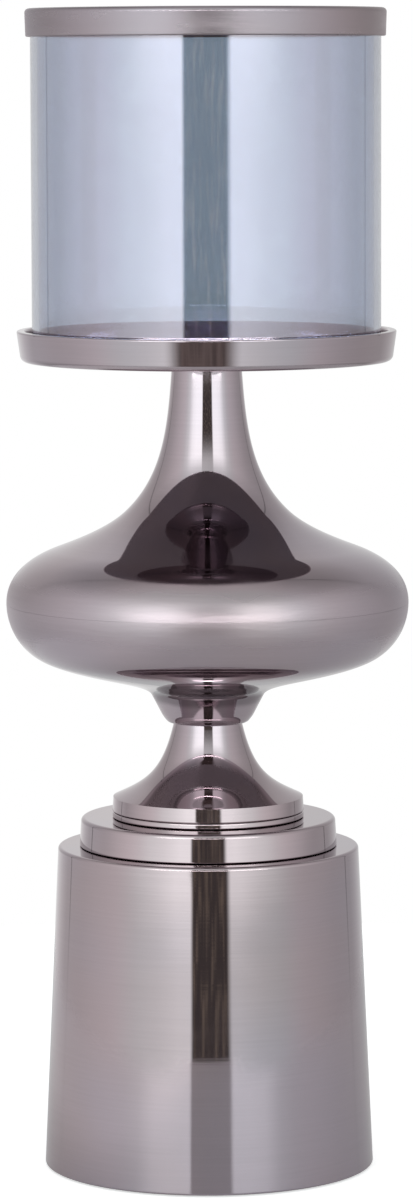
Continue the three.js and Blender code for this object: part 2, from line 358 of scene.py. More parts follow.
def make_handling():
    """Masks of the soft smears from wiping and of the specks of dust on them."""
    tree, given, out = new_group("handling", {"Size": 0.03}, ["Smear", "Speck"])
    place = object_place(tree)
    scale = calc(tree, "DIVIDE", 1.0, given.outputs["Size"])
    smear = noise(tree, place, scale, detail=4.0, roughness=0.55, distortion=1.4)
    speck_scale = product(tree, scale, SPECK_FINENESS)
    speck = noise(tree, place, speck_scale, detail=2.0, roughness=0.7)
    tree.links.new(smooth_step(tree, smear, 0.42, 0.7), out.inputs["Smear"])
    tree.links.new(smooth_step(tree, speck, 0.62, 0.78), out.inputs["Speck"])
    return tree


def make_band():
    """A mask that is 1 at one height of the piece and fades out unevenly above and below it."""
    inputs = {"Height": 0.0, "Width": 0.01, "Soft": 0.01}
    tree, given, out = new_group("band at a height", inputs, ["Mask"])
    height, width, soft = [given.outputs[name] for name in inputs]
    place = object_place(tree)
    z = put(tree, "SeparateXYZ", place).outputs[2]
    ragged = noise(tree, place, 40.0, detail=1.0, roughness=0.5)
    ragged = calc(tree, "SUBTRACT", ragged, 0.5)
    offset = calc(tree, "ABSOLUTE", calc(tree, "SUBTRACT", z, height))
    uneven = calc(tree, "MULTIPLY_ADD", ragged, soft, offset)
    end = calc(tree, "ADD", width, soft)
    tree.links.new(smooth_step(tree, uneven, end, width), out.inputs["Mask"])
    return tree


def make_core():
    """A mask that is 1 closer to the axis than the given radius."""
    tree, given, out = new_group("inside a radius", {"Radius": 0.05, "Soft": 0.0005}, ["Mask"])
    x, y, _ = put(tree, "SeparateXYZ", object_place(tree)).outputs
    inner = calc(tree, "SUBTRACT", given.outputs["Radius"], given.outputs["Soft"])
    mask = smooth_step(tree, from_axis(tree, x, y), given.outputs["Radius"], inner)
    tree.links.new(mask, out.inputs["Mask"])
    return tree


TURNED_MARKS = make_turned_marks()
WAVES = make_waves()
HANDLING = make_handling()
BAND = make_band()
CORE = make_core()


def new_material(name):
    material = bpy.data.materials.new(name)
    material.use_nodes = True
    tree = material.node_tree
    return material, tree, tree.nodes["Principled BSDF"]


# Dark nickel: the two tones that its colour drifts between, and how its marks show in it
NICKEL_WARM = (0.425, 0.352, 0.372)
NICKEL_COOL = (0.41, 0.358, 0.4)
GRAIN_CONTRAST = 0.1
STREAK_ROUGHNESS = 0.25  # as a share of the roughness
SMEAR_ROUGHNESS = 0.02

# The other materials' colours: pairs that smears or fibres go between, and the glass's specks
SMOKE = ((0.54, 0.585, 0.685, 1), (0.56, 0.61, 0.705, 1))
SMOKE_SPECK = (0.62, 0.67, 0.76, 1)
SMOKE_TINT = (1.0, 0.84, 0.93, 1)
ZINC = ((0.42, 0.43, 0.44, 1), (0.56, 0.55, 0.50, 1))
SILICONE = ((0.6, 0.62, 0.65, 1), (0.5, 0.5, 0.52, 1))
FELT = ((0.006, 0.006, 0.007, 1), (0.035, 0.034, 0.037, 1))


def nickel(name, roughness, marks, waves, anisotropy=0.0, reflectance=1.0, bands=(), core=None):
    """Dark nickel plate.

    marks is the (depth, spacing) of its turned marks and waves the depth of its polishing waves,
    in metres. bands are stretches with a finish of their own: (height, half width, softness,
    roughness, reflectance, depth of the wiping streaks); a reflectance under 1 darkens the plate
    there as painted shade. core is a (radius, reflectance) inside which the plate is darkened as
    painted shade.
    """
    material, tree, shader = new_material(name)
    shader.inputs["Metallic"].default_value = 1.0
    if anisotropy:
        shader.inputs["Anisotropic"].default_value = anisotropy
        tangent = put(tree, "Tangent", direction_type="RADIAL", axis="Z")
        tree.links.new(tangent.outputs[0], shader.inputs["Tangent"])
    depth, spacing = marks
    lathe = use(tree, TURNED_MARKS, Spacing=spacing).outputs
    hands = use(tree, HANDLING, Size=0.045).outputs
    drift = noise(tree, object_place(tree), 9.0, detail=2.0, roughness=0.5)
    tones = [[part * reflectance for part in tone] + [1] for tone in (NICKEL_WARM, NICKEL_COOL)]
    plate = blend_colours(tree, smooth_step(tree, drift, 0.35, 0.65), *tones)
    grain = grey(tree, calc(tree, "MULTIPLY_ADD", lathe["Height"], GRAIN_CONTRAST, 1.0))
    plate = blend_colours(tree, 1.0, plate, grain, "MULTIPLY")
    rough = calc(tree, "MULTIPLY_ADD", hands["Smear"], SMEAR_ROUGHNESS, roughness)
    rough = calc(tree, "MULTIPLY_ADD", lathe["Streak"], roughness * STREAK_ROUGHNESS, rough)
    surface = product(tree, use(tree, WAVES, Size=0.03).outputs["Height"], waves)
    surface = calc(tree, "MULTIPLY_ADD", lathe["Height"], depth, surface)
    for height, width, soft, band_roughness, share, streaks in bands:
        finish_and_shade_band = use(tree, BAND, Height=height, Width=width, Soft=soft).outputs["Mask"]
        rough = blend(tree, finish_and_shade_band, rough, band_roughness)
        # Where a band's reflectance is under 1, this darkens the plate as painted shade.
        plate = dimmed(tree, finish_and_shade_band, plate, share)
        if streaks:
            wiped = use(tree, TURNED_MARKS, Spacing=0.0025, Length=0.02).outputs["Height"]
            wiped = product(tree, finish_and_shade_band, wiped)
            surface = calc(tree, "MULTIPLY_ADD", wiped, streaks, surface)
    # Painted shade: the plate is darkened inside the core's radius.
    if core:
        radius, share = core
        plate = dimmed(tree, use(tree, CORE, Radius=radius).outputs["Mask"], plate, share)
    tree.links.new(plate, shader.inputs["Base Color"])
    tree.links.new(rough, shader.inputs["Roughness"])
    bump = put(tree, "Bump", 1.0, 1.0, None, surface)
    tree.links.new(bump.outputs[0], shader.inputs["Normal"])
    return material


def smoked_glass():
    """Smoked glass with a thin mirror film, so that it is half mirror and half window."""
    material, tree, shader = new_material("smoked glass")
    shader.inputs["Metallic"].default_value = 0.0
    shader.inputs["Transmission Weight"].default_value = 1.0
    shader.inputs["IOR"].default_value = 2.6
    shader.inputs["Roughness"].default_value = 0.0
    shader.inputs["Specular Tint"].default_value = SMOKE_TINT
    film = use(tree, HANDLING, Size=0.02).outputs
    smoke = blend_colours(tree, film["Smear"], *SMOKE)
    speckled = blend_colours(tree, film["Speck"], smoke, SMOKE_SPECK)
    tree.links.new(speckled, shader.inputs["Base Color"])
    return material


def wear(tree, shader, size, colours, roughness):
    """Puts smears in the colour and specks in the roughness."""
    marks = use(tree, HANDLING, Size=size).outputs
    tree.links.new(blend_colours(tree, marks["Smear"], *colours), shader.inputs["Base Color"])
    rough = calc(tree, "MULTIPLY_ADD", marks["Speck"], 0.2, roughness)
    tree.links.new(rough, shader.inputs["Roughness"])


def zinc_steel():
    """Zinc plated steel of the hidden fastening."""
    material, tree, shader = new_material("zinc plated steel")
    shader.inputs["Metallic"].default_value = 1.0
    wear(tree, shader, size=0.006, colours=ZINC, roughness=0.34)
    return material


def clear_silicone():
    material, tree, shader = new_material("clear silicone")
    shader.inputs["Subsurface Weight"].default_value = 0.3
    shader.inputs["Subsurface Scale"].default_value = 0.002
    wear(tree, shader, size=0.01, colours=SILICONE, roughness=0.4)
    return material


def black_felt():
    material, tree, shader = new_material("black felt")
    shader.inputs["Sheen Weight"].default_value = 0.35
    shader.inputs["Roughness"].default_value = 0.95
    fibres = noise(tree, object_place(tree), 2600.0, detail=4.0, roughness=0.7, distortion=2.0)
    tree.links.new(blend_colours(tree, fibres, *FELT), shader.inputs["Base Color"])
    bump = put(tree, "Bump", 1.0, 0.0003, None, fibres)
    tree.links.new(bump.outputs[0], shader.inputs["Normal"])
    return material


# Stand


def make_drum(material):
    top, bottom = high("base_drum"), low("base_drum")
    foot_radius = reach("base_drum")
    slope = (foot_radius - DRUM_TOP_RADIUS) / (top - bottom)

    def wall(z):
        return DRUM_TOP_RADIUS + slope * (top - z) - SHEET

    ceiling, flange = top - SHEET, DRUM_FLANGE_HEIGHT
    flange_inner = wall(flange) - DRUM_FLANGE_WIDTH
    mesh = outline([
        (ROD_HOLE, top),
        (ROD_HOLE, ceiling),
        (wall(ceiling), ceiling, SHEET),
        (wall(flange + SHEET), flange + SHEET, FINE_EDGE),
        (flange_inner, flange + SHEET, FINE_EDGE),
        (flange_inner, flange, FINE_EDGE),
        (wall(flange), flange, FINE_EDGE),
        (wall(bottom), bottom, FINE_EDGE),
        (foot_radius, bottom, 2 * FINE_EDGE),
        (DRUM_TOP_RADIUS, top, DRUM_SHOULDER),
    ])
    spin(mesh)
    finish_piece("drum_shell", mesh, "stand", "satin_nickel", material, "base_drum")


def make_felt_pad(number, material):
    node = f"felt_pad_{number}"
    lowest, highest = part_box(node)
    centre = (lowest + highest) / 2
    radius, height = (highest.x - lowest.x) / 2, highest.z - lowest.z
    edge = height * PAD_EDGE
    mesh = outline([
        (0, 0),
        (radius, 0, edge),
        (radius, height, edge / 2),
        (0, height),
    ], closed=False)
    spin(mesh, SMALL_AROUND)
    bmesh.ops.translate(mesh, vec=(centre.x, centre.y, lowest.z), verts=mesh.verts)
    finish_piece(f"felt_disc_{number}", mesh, "stand", "felt", material, node)


def make_step_disc(material):
    top, bottom = high("step_disc"), low("step_disc")
    ceiling = top - SHEET
    mesh = outline([
        (ROD_HOLE, top),
        (ROD_HOLE, ceiling),
        (STEP_TOP_RADIUS - SHEET, ceiling, SHEET / 2),
        (reach("step_disc") - SHEET, bottom, FINE_EDGE),
        (reach("step_disc"), bottom, FINE_EDGE),
        (STEP_TOP_RADIUS, top, STEP_SHOULDER),
    ])
    spin(mesh)
    finish_piece("turned_step", mesh, "stand", "polished_nickel", material, "step_disc")


def make_foot_plate(material):
    bottom, locator_top = low("foot_plate"), high("foot_plate")
    top = bottom + PLATE_THICKNESS
    mesh = outline([
        (ROD_HOLE, bottom),
        (reach("foot_plate"), bottom, FINE_EDGE),
        (reach("foot_plate") - PLATE_THICKNESS * BAND_SPLAY, top, FINE_EDGE),
        (LOCATOR_RADIUS, top),
        (LOCATOR_RADIUS, locator_top, FINE_EDGE),
        (ROD_HOLE, locator_top),
    ])
    spin(mesh)
    finish_piece("turned_plate", mesh, "stand", "polished_nickel", material, "foot_plate")


def make_foot(material):
    top, bottom, radius = high("foot_cone"), low("foot_cone"), reach("foot_cone")
    band_top = bottom + FOOT_BAND
    band_radius = radius - FOOT_BAND * BAND_SPLAY
    neck_radius, neck_lean, neck_pull = FOOT_NECK
    flare_radius, flare_lean, flare_pull = FOOT_FLARE
    flare_end = band_top + (band_radius - flare_radius) / 2
    start = (neck_radius, top - FOOT_SPIGOT)
    flare = sweep(start, (flare_radius, flare_end), neck_lean, neck_pull, flare_lean, flare_pull)
    skin = outline([
        (ROD_HOLE, top),
        (neck_radius, top, FINE_EDGE),
        *flare,
        (band_radius, band_top),
        (radius, bottom, FINE_EDGE),
        (radius - SHEET, bottom, FINE_EDGE),
        (band_radius - SHEET, band_top - SHEET),
        *reversed(lining(flare[4:-2:4], 0.5, -0.9)),
        (neck_radius - SHEET, top - SHEET),
        (ROD_HOLE, top - SHEET),
    ])
    spin(skin)
    finish_piece("spun_foot", skin, "stand", "polished_nickel", material, "foot_cone")


def bulb_point(form, offset=0.0):
    return form[0], low("lower_bulb") + form[1] + offset


def bulb_sweep(upper, lower, offset=0.0):
    """The stretch of the bulb's outline from one of its named points down to the next one."""
    start, end = bulb_point(upper, offset), bulb_point(lower, offset)
    return sweep(start, end, upper[2], upper[3], lower[2], lower[4])


def make_lower_bulb(material):
    bottom = low("lower_bulb")
    seam = -SEAM / 2
    side = bulb_sweep(BULB_EQUATOR, BULB_UNDER, seam)
    belly = bulb_sweep(BULB_UNDER, BULB_COLLAR, seam)
    outer = side + belly[1:]
    bore = FOOT_NECK[0] + FIT
    recess = high("foot_cone") + FIT
    lip = BULB_EQUATOR[0] - 2 * SHEET
    equator = bottom + BULB_EQUATOR[1]
    mesh = outline([
        *outer,
        (COLLAR_LIP_RADIUS, bottom + COLLAR_LIP_HEIGHT, COLLAR_ROUNDING),
        (COLLAR_FACE_RADIUS, bottom, COLLAR_ROUNDING),
        (bore, bottom, FINE_EDGE),
        (bore, recess),
        (ROD_HOLE, recess),
        (ROD_HOLE, recess + SHEET),
        (bore + SHEET, recess + SHEET),
        *reversed(lining(outer[12:-6:3], 0.8, 0.7)),
        (lip - SHEET / 2, equator - SHEET),
        (lip - SHEET / 2, equator + SHEET),
        (lip, equator + SHEET),
        (lip, equator + seam),
    ])
    spin(mesh)
    finish_piece("spun_lower_bulb", mesh, "stand", "polished_nickel", material, "lower_bulb")


def make_upper_bulb(material):
    seam = SEAM / 2
    neck = bulb_sweep(BULB_NECK, BULB_FLARE)
    slope = bulb_sweep(BULB_FLARE, BULB_SHOULDER)
    start, end = bulb_point(BULB_SHOULDER), bulb_point(BULB_EQUATOR, seam)
    side = sweep(start, end, BULB_SHOULDER[2], BULB_SHOULDER[3], BULB_EQUATOR[2], BULB_EQUATOR[4])
    outer = neck + slope[1:] + side[1:]
    mesh = outline([
        *outer,
        (BULB_EQUATOR[0] - SHEET, outer[-1][1]),
        *reversed(lining(outer[3:-12:3], 0.8, -0.7)),
        (BULB_NECK[0] - SHEET, outer[0][1]),
    ])
    spin(mesh)
    finish_piece("spun_upper_bulb", mesh, "stand", "polished_nickel", material, "upper_bulb")


# Tray and hub


def make_tray(material):
    bottom, rim, rim_radius = low("tray"), high("tray"), reach("tray")
    inner_rim = rim_radius - TRAY_RIM_WALL
    groove, seat = bottom + TRAY_GROOVE, bottom + TRAY_SEAT
    inner_floor = inner_rim - (rim_radius - TRAY_BOTTOM_RADIUS) * (rim - groove) / (rim - bottom)
    mesh = outline([
        (0, bottom),
        (TRAY_BOTTOM_RADIUS, bottom, TRAY_CORNER),
        (rim_radius, rim, 2 * FINE_EDGE),
        (inner_rim, rim, 2 * FINE_EDGE),
        (inner_floor, groove, FINE_EDGE),
        (TRAY_SEAT_RADIUS, groove, FINE_EDGE),
        (TRAY_SEAT_RADIUS, seat, FINE_EDGE),
        (0, seat),
    ], closed=False)
    spin(mesh)
    finish_piece("turned_tray", mesh, "stand", "polished_nickel", material, "tray")


def make_hub(material):
    top, bottom, radius = high("tray_hub"), low("tray_hub"), reach("tray_hub")
    mesh = outline([
        (0, top),
        (radius, top, FINE_EDGE),
        (radius, bottom, 2 * FINE_EDGE),
        (ROD_HOLE, bottom, FINE_EDGE),
        (ROD_HOLE, bottom + HUB_BORE),
        (0, bottom + HUB_BORE),
    ], closed=False)
    spin(mesh, SMALL_AROUND)
    finish_piece("threaded_hub", mesh, "stand", "zinc_steel", material, "tray_hub")


# Fastening on the axis


def make_tie_rod(material):
    """A rod with a real thread: its ridges' outline is spun one turn and climbs one pitch."""
    bottom, top, radius = low("tie_rod"), high("tie_rod"), reach("tie_rod")
    ridges = math.ceil((top - bottom) / THREAD_PITCH) + 2
    mesh = bmesh.new()
    previous = None
    for i in range(2 * ridges + 1):
        height = bottom - 1.5 * THREAD_PITCH + i * THREAD_PITCH / 2
        vert = mesh.verts.new((radius - (i % 2) * THREAD_DEPTH, 0, height))
        if previous:
            mesh.edges.new((previous, vert))
        previous = vert
    bmesh.ops.spin(
        mesh,
        geom=mesh.verts[:] + mesh.edges[:],
        cent=(0, 0, 0),
        axis=(0, 0, 1),
        dvec=(0, 0, THREAD_PITCH / THREAD_STEPS),
        angle=2 * math.pi,
        steps=THREAD_STEPS,
        use_merge=False,
        use_duplicate=False,
    )
    bmesh.ops.remove_doubles(mesh, verts=mesh.verts, dist=WELD_DISTANCE)
    for height, outwards in ((bottom, -1), (top, 1)):
        cut = bmesh.ops.bisect_plane(
            mesh,
            geom=mesh.verts[:] + mesh.edges[:] + mesh.faces[:],
            dist=CUT_TOLERANCE,
            plane_co=(0, 0, height),
            plane_no=(0, 0, outwards),
            clear_outer=True,
        )
        edges = [item for item in cut["geom_cut"] if isinstance(item, bmesh.types.BMEdge)]
        bmesh.ops.contextual_create(mesh, geom=edges)
    bmesh.ops.recalc_face_normals(mesh, faces=mesh.faces)
    finish_piece("threaded_rod", mesh, "stand", "zinc_steel", material, "tie_rod")


def make_washer(name, node, inner, body, slot, material):
    bottom, top, outer = low(node), high(node), reach(node)
    edge = (top - bottom) * WASHER_EDGE
    mesh = outline([
        (inner, bottom, edge),
        (outer, bottom, edge),
        (outer, top, edge),
        (inner, top, edge),
    ])
    spin(mesh)
    finish_piece(name, mesh, body, slot, material, node)


def make_lock_washer(material):
    """A spring washer: a square section spun round, with its two ends a little out of step."""
    bottom, top, outer = low("lock_washer"), high("lock_washer"), reach("lock_washer")
    upper = top - SPRING_RISE
    mesh = bmesh.new()
    places = [(ROD_HOLE, bottom), (outer, bottom), (outer, upper), (ROD_HOLE, upper)]
    section = mesh.faces.new([mesh.verts.new((r, 0, z)) for r, z in places])
    turn = Matrix.Rotation(SPRING_GAP / 2, 3, "Z")
    bmesh.ops.rotate(mesh, cent=(0, 0, 0), matrix=turn, verts=mesh.verts)
    bmesh.ops.spin(
        mesh,
        geom=[section, *section.edges, *section.verts],
        cent=(0, 0, 0),
        axis=(0, 0, 1),
        dvec=(0, 0, SPRING_RISE / SPRING_STEPS),
        angle=2 * math.pi - SPRING_GAP,
        steps=SPRING_STEPS,
        use_merge=False,
        use_duplicate=False,
    )
    bmesh.ops.recalc_face_normals(mesh, faces=mesh.faces)
    finish_piece("spring_washer", mesh, "stand", "zinc_steel", material, "lock_washer")


def make_nut(material):
    """A hexagon with its corners eased, and a bore."""
    bottom, top = low("hex_nut"), high("hex_nut")
    corner = NUT_FLATS / 2 / math.cos(math.pi / 6)
    mesh = bmesh.new()
    hexagon = bmesh.ops.create_circle(mesh, segments=6, radius=corner)["verts"]
    turn = Matrix.Rotation(math.pi / 6, 3, "Z")
    bmesh.ops.rotate(mesh, cent=(0, 0, 0), matrix=turn, verts=hexagon)
    bmesh.ops.subdivide_edges(mesh, edges=mesh.edges[:], cuts=NUT_CUTS)
    bmesh.ops.create_circle(mesh, segments=6 * (NUT_CUTS + 1), radius=ROD_HOLE)
    bmesh.ops.bridge_loops(mesh, edges=mesh.edges[:])
    grown = bmesh.ops.extrude_face_region(mesh, geom=mesh.faces[:])["geom"]
    lifted = [item for item in grown if isinstance(item, bmesh.types.BMVert)]
    bmesh.ops.translate(mesh, vec=(0, 0, top - bottom), verts=lifted)
    bmesh.ops.recalc_face_normals(mesh, faces=mesh.faces)
    ends = [
        edge for edge in mesh.edges
        if edge.calc_face_angle(0) > 1 and edge.verts[0].co.xy.length > ROD_HOLE * 1.1
        and abs(edge.verts[0].co.z - edge.verts[1].co.z) < WELD_DISTANCE
    ]
    bmesh.ops.bevel(
        mesh, geom=ends, offset=FINE_EDGE, segments=2, profile=0.5, affect="EDGES", material=-1
    )
    bmesh.ops.translate(mesh, vec=(0, 0, bottom), verts=mesh.verts)
    finish_piece("hexagon_nut", mesh, "stand", "zinc_steel", material, "hex_nut")


# Glass and ring


def make_glass(material):
    bottom, top = low("glass_cylinder"), high("glass_cylinder")
    outer = reach("glass_cylinder")
    inner = outer - GLASS_WALL
    mesh = outline([
        (inner, bottom, GLASS_EDGE),
        (outer, bottom, GLASS_EDGE),
        (outer, top, GLASS_EDGE),
        (inner, top, GLASS_EDGE),
    ])
    spin(mesh)
    finish_piece("glass_shade", mesh, "shade", "smoked_glass", material, "glass_cylinder")


def make_ring(material):
    bottom, top = low("top_ring"), high("top_ring")
    skirt_inner = reach("glass_cylinder") + RING_CLEARANCE
    skirt_outer = skirt_inner + RING_WALL
    hook_outer = reach("glass_cylinder") - GLASS_WALL - RING_CLEARANCE
    hook_inner = hook_outer - RING_WALL
    mesh = outline([
        (skirt_outer + RING_SPLAY, top, RING_CORNER),
        (hook_inner, top, RING_CORNER),
        (hook_inner, top - RING_HOOK, FINE_EDGE),
        (hook_outer, top - RING_HOOK, FINE_EDGE),
        (hook_outer, top - RING_WALL, FINE_EDGE),
        (skirt_inner, top - RING_WALL, FINE_EDGE),
        (skirt_inner, bottom, FINE_EDGE),
        (skirt_outer, bottom, 1.5 * FINE_EDGE),
    ])
    spin(mesh)
    finish_piece("channel_ring", mesh, "cap", "polished_nickel", material, "top_ring")


# Studio

CAMERA_PLACE = (0, -2.170, 0.482)
CAMERA_TILT = math.radians(6.1)
CAMERA_ROLL = math.radians(-0.19)
CAMERA_YAW = math.radians(0.011)
LENS = 149.5


def make_camera():
    data = bpy.data.cameras.new("camera")
    data.lens = LENS
    data.sensor_width = 36
    camera = bpy.data.objects.new("camera", data)
    camera.matrix_world = (
        Matrix.Translation(CAMERA_PLACE)
        @ Matrix.Rotation(CAMERA_YAW, 4, "Z")
        @ Matrix.Rotation(math.pi / 2 - CAMERA_TILT, 4, "X")
        @ Matrix.Rotation(CAMERA_ROLL, 4, "Z")
    )
    bpy.context.scene.collection.objects.link(camera)
    bpy.context.scene.camera = camera
    bpy.context.scene.view_settings.view_transform = "Standard"


# The white room that the metal reflects. All angles are in degrees: the turn is round from the
# middle of the room's front, where the camera is, and the rise is up from the level.

# The brightness of the walls by the turn: above eye level, round it and below it
WALLS_ROUND = [
    (0, 1.15), (50, 1.15), (75, 0.98), (106, 0.71), (128, 0.58), (150, 0.65), (180, 0.83)
]
LEVEL_ROUND = [
    (0, 1.9), (25, 1.9), (40, 1.6), (54, 1.41), (64, 1.21), (75, 1.07), (93, 0.87), (117, 0.6),
    (180, 0.83),
]
LOW_ROUND = [
    (0, 1.38), (22, 1.33), (38, 1.15), (57, 1.0), (80, 0.88), (109, 0.75), (135, 0.68),
    (155, 0.84), (180, 0.9),
]
ROUND_SCALE = 2.0
LEVEL_CHANGE = (2.5, -1.5)
LOW_CHANGE = (-3.9, -5.3)

# How the brightness changes by the rise, and how much dimmer the right side is
WALLS_RISE = [(-90, 0.5), (-60, 0.5), (-35, 0.65), (-20, 1), (32, 1), (50, 0.76), (90, 0.68)]
RIGHT_LOSS = [(-20, 0.1), (-12, 0.22), (-5, 0.22), (-2, 0.06), (3, 0.12)]
RIGHT_CHANGE = (-12.0, 12.0)
POLE_LIGHT = 0.7  # straight up and straight down
POLE_CHANGE = (62.0, 82.0)
BOTTOM_CHANGE = (-10.0, -16.0)
BOTTOM_FAR_CHANGE = (60.0, 110.0)
BOTTOM_FAR_LOSS = 0.13

# The thin dark lines of the room's two corners
CORNER_LINE = 128.6
CORNER_LINE_HALF_WIDTH = 1.1
CORNER_LINE_DEPTH = 0.72
CORNER_LINE_END = (-9.0, -6.0)

# The two soft boxes at the front, and the tint of the front
BOX_ROUND = [(0, 1.25), (30, 1.25), (40, 1.05), (52, 0.27), (62, 0.04), (72, 0)]
BOX_RISE = [(0, 1), (27, 1), (36, 0.35), (44, 0)]
BOX_SCALE = 1.25
FRONT_CHANGE = (78.0, 50.0)
FRONT_COLOUR = (0.95, 1.04, 1.02, 1)

# The dark gap between the boxes: how far it reaches to the left and to the right by the rise, how
# soft its two edges are, and the folds in what hangs there
GAP_LEFT = [(-16, 21), (-10, 12.4), (-3.9, 12.4), (-3.5, 15), (1, 15), (5, 13)]
GAP_RIGHT = [(-16, 16.3), (-10, 15.1), (1, 15.1), (5, 15.8)]
GAP_SCALE = 25
GAP_SOFTNESS = (1.5, 2.3)
GAP_BOTTOM_SOFTNESS = 6.5
GAP_TOP_CHANGE = (52.0, 14.0)
GAP_DARK = (0.08, 0.072, 0.069, 1)
GAP_PALE = (0.3, 0.26, 0.2, 1)
GAP_BOTTOM = (0.23, 0.195, 0.175, 1)
GAP_BOTTOM_DARK = (0.13, 0.11, 0.1, 1)
FOLDS_ACROSS = 0.32
FOLDS_UP = 1.5

# A strip of light low across both boxes and the gap
STRIP_HALF_WIDTH = 45.0
STRIP_END_SOFTNESS = 6.0
STRIP_RISE = (2.4, 4.0)
STRIP_SOFTNESS = 0.3
STRIP_LIGHT = 12.0
STRIP_LIGHT_IN_GAP = 24.0


def angle_curve(tree, angle, lowest, highest, points, scale=1.0):
    """A value that follows the given (angle, value) points."""
    share = put(tree, "MapRange", angle, lowest, highest).outputs[0]
    places = [((a - lowest) / (highest - lowest), value) for a, value in points]
    return curve(tree, share, places, scale)


def wall_light(tree, turn, rise, level, bottom, right):
    """The brightness of the walls."""
    above, middle, below = [
        angle_curve(tree, turn, 0, 180, points, ROUND_SCALE)
        for points in (WALLS_ROUND, LEVEL_ROUND, LOW_ROUND)
    ]
    low_down = smooth_step(tree, rise, *LOW_CHANGE)
    walls = blend(tree, low_down, blend(tree, level, above, middle), below)

    right_loss = product(tree, right, angle_curve(tree, rise, -20, 20, RIGHT_LOSS))
    off_line = calc(tree, "ABSOLUTE", calc(tree, "SUBTRACT", turn, CORNER_LINE))
    line = smooth_step(tree, off_line, CORNER_LINE_HALF_WIDTH, 0.0)
    line = product(tree, line, smooth_step(tree, rise, *CORNER_LINE_END))
    far = product(tree, bottom, smooth_step(tree, turn, *BOTTOM_FAR_CHANGE))
    return product(
        tree,
        walls,
        angle_curve(tree, rise, -90, 90, WALLS_RISE),
        calc(tree, "SUBTRACT", 1.0, right_loss),
        calc(tree, "MULTIPLY_ADD", line, -CORNER_LINE_DEPTH, 1.0),
        calc(tree, "MULTIPLY_ADD", far, -BOTTOM_FAR_LOSS, 1.0),
    )


def box_light(tree, turn, rise, level):
    """The brightness that the two soft boxes add."""
    return product(
        tree,
        angle_curve(tree, turn, 0, 180, BOX_ROUND, BOX_SCALE),
        angle_curve(tree, rise, 0, 60, BOX_RISE),
        calc(tree, "SUBTRACT", 1.0, level),
    )


def dark_gap(tree, side, turn, rise, bottom, right):
    """The mask and the colour of the gap between the boxes."""
    left_edge, right_edge = [
        angle_curve(tree, rise, -20, 10, points, GAP_SCALE) for points in (GAP_LEFT, GAP_RIGHT)
    ]
    edge = blend(tree, calc(tree, "GREATER_THAN", side, 0.0), left_edge, right_edge)
    softness = blend(tree, bottom, blend(tree, right, *GAP_SOFTNESS), GAP_BOTTOM_SOFTNESS)
    outer, inner = [calc(tree, kind, edge, softness) for kind in ("ADD", "SUBTRACT")]
    mask = product(
        tree, smooth_step(tree, turn, outer, inner), smooth_step(tree, rise, *GAP_TOP_CHANGE)
    )
    folds = put(
        tree, "CombineXYZ", product(tree, side, FOLDS_ACROSS), product(tree, rise, FOLDS_UP)
    )
    streaks = noise(tree, folds.outputs[0], 1.0, detail=3.0, roughness=0.6)
    pale = smooth_step(tree, streaks, 0.45, 0.75)
    dim = smooth_step(tree, streaks, 0.4, 0.65)
    colour = blend_colours(
        tree,
        bottom,
        blend_colours(tree, pale, GAP_DARK, GAP_PALE),
        blend_colours(tree, dim, GAP_BOTTOM, GAP_BOTTOM_DARK),
    )
    return mask, colour


def light_strip(tree, turn, rise):
    """The mask of the strip of light."""
    ends = STRIP_HALF_WIDTH + STRIP_END_SOFTNESS, STRIP_HALF_WIDTH - STRIP_END_SOFTNESS
    lowest, highest = STRIP_RISE
    return product(
        tree,
        smooth_step(tree, turn, *ends),
        smooth_step(tree, rise, lowest - STRIP_SOFTNESS, lowest + STRIP_SOFTNESS),
        smooth_step(tree, rise, highest + STRIP_SOFTNESS, highest - STRIP_SOFTNESS),
    )


def make_room():
    """The white room as the world. The camera sees plain white, also through the glass."""
    world = bpy.data.worlds.new("white room")
    bpy.context.scene.world = world
    world.use_nodes = True
    tree = world.node_tree
    way = put(tree, "TexCoord").outputs["Generated"]
    x, y, z = put(tree, "SeparateXYZ", way).outputs
    side = calc(tree, "DEGREES", calc(tree, "ARCTAN2", x, product(tree, y, -1.0)))
    turn = calc(tree, "ABSOLUTE", side)
    rise = calc(tree, "DEGREES", calc(tree, "ARCSINE", z))
    right = smooth_step(tree, side, *RIGHT_CHANGE)
    level = smooth_step(tree, rise, *LEVEL_CHANGE)
    bottom = smooth_step(tree, rise, *BOTTOM_CHANGE)

    walls = wall_light(tree, turn, rise, level, bottom, right)
    lit = calc(tree, "ADD", walls, box_light(tree, turn, rise, level))
    front = smooth_step(tree, turn, *FRONT_CHANGE)
    tint = blend_colours(tree, front, (1, 1, 1, 1), FRONT_COLOUR)
    room = blend_colours(tree, 1.0, tint, grey(tree, lit), "MULTIPLY")
    gap, dark = dark_gap(tree, side, turn, rise, bottom, right)
    room = blend_colours(tree, gap, room, dark)
    light = blend(tree, gap, STRIP_LIGHT, STRIP_LIGHT_IN_GAP)
    room = blend_colours(tree, light_strip(tree, turn, rise), room, grey(tree, light))
    pole = smooth_step(tree, calc(tree, "ABSOLUTE", rise), *POLE_CHANGE)
    room = blend_colours(tree, pole, room, (POLE_LIGHT, POLE_LIGHT, POLE_LIGHT, 1))

    rays = put(tree, "LightPath").outputs
    bounces = calc(tree, "ADD", rays["Glossy Depth"], rays["Diffuse Depth"])
    through = product(tree, rays["Is Transmission Ray"], calc(tree, "LESS_THAN", bounces, 0.5))
    seen = calc(tree, "MAXIMUM", rays["Is Camera Ray"], through)
    shown = blend_colours(tree, seen, room, (1, 1, 1, 1))
    tree.links.new(shown, tree.nodes["Background"].inputs["Color"])


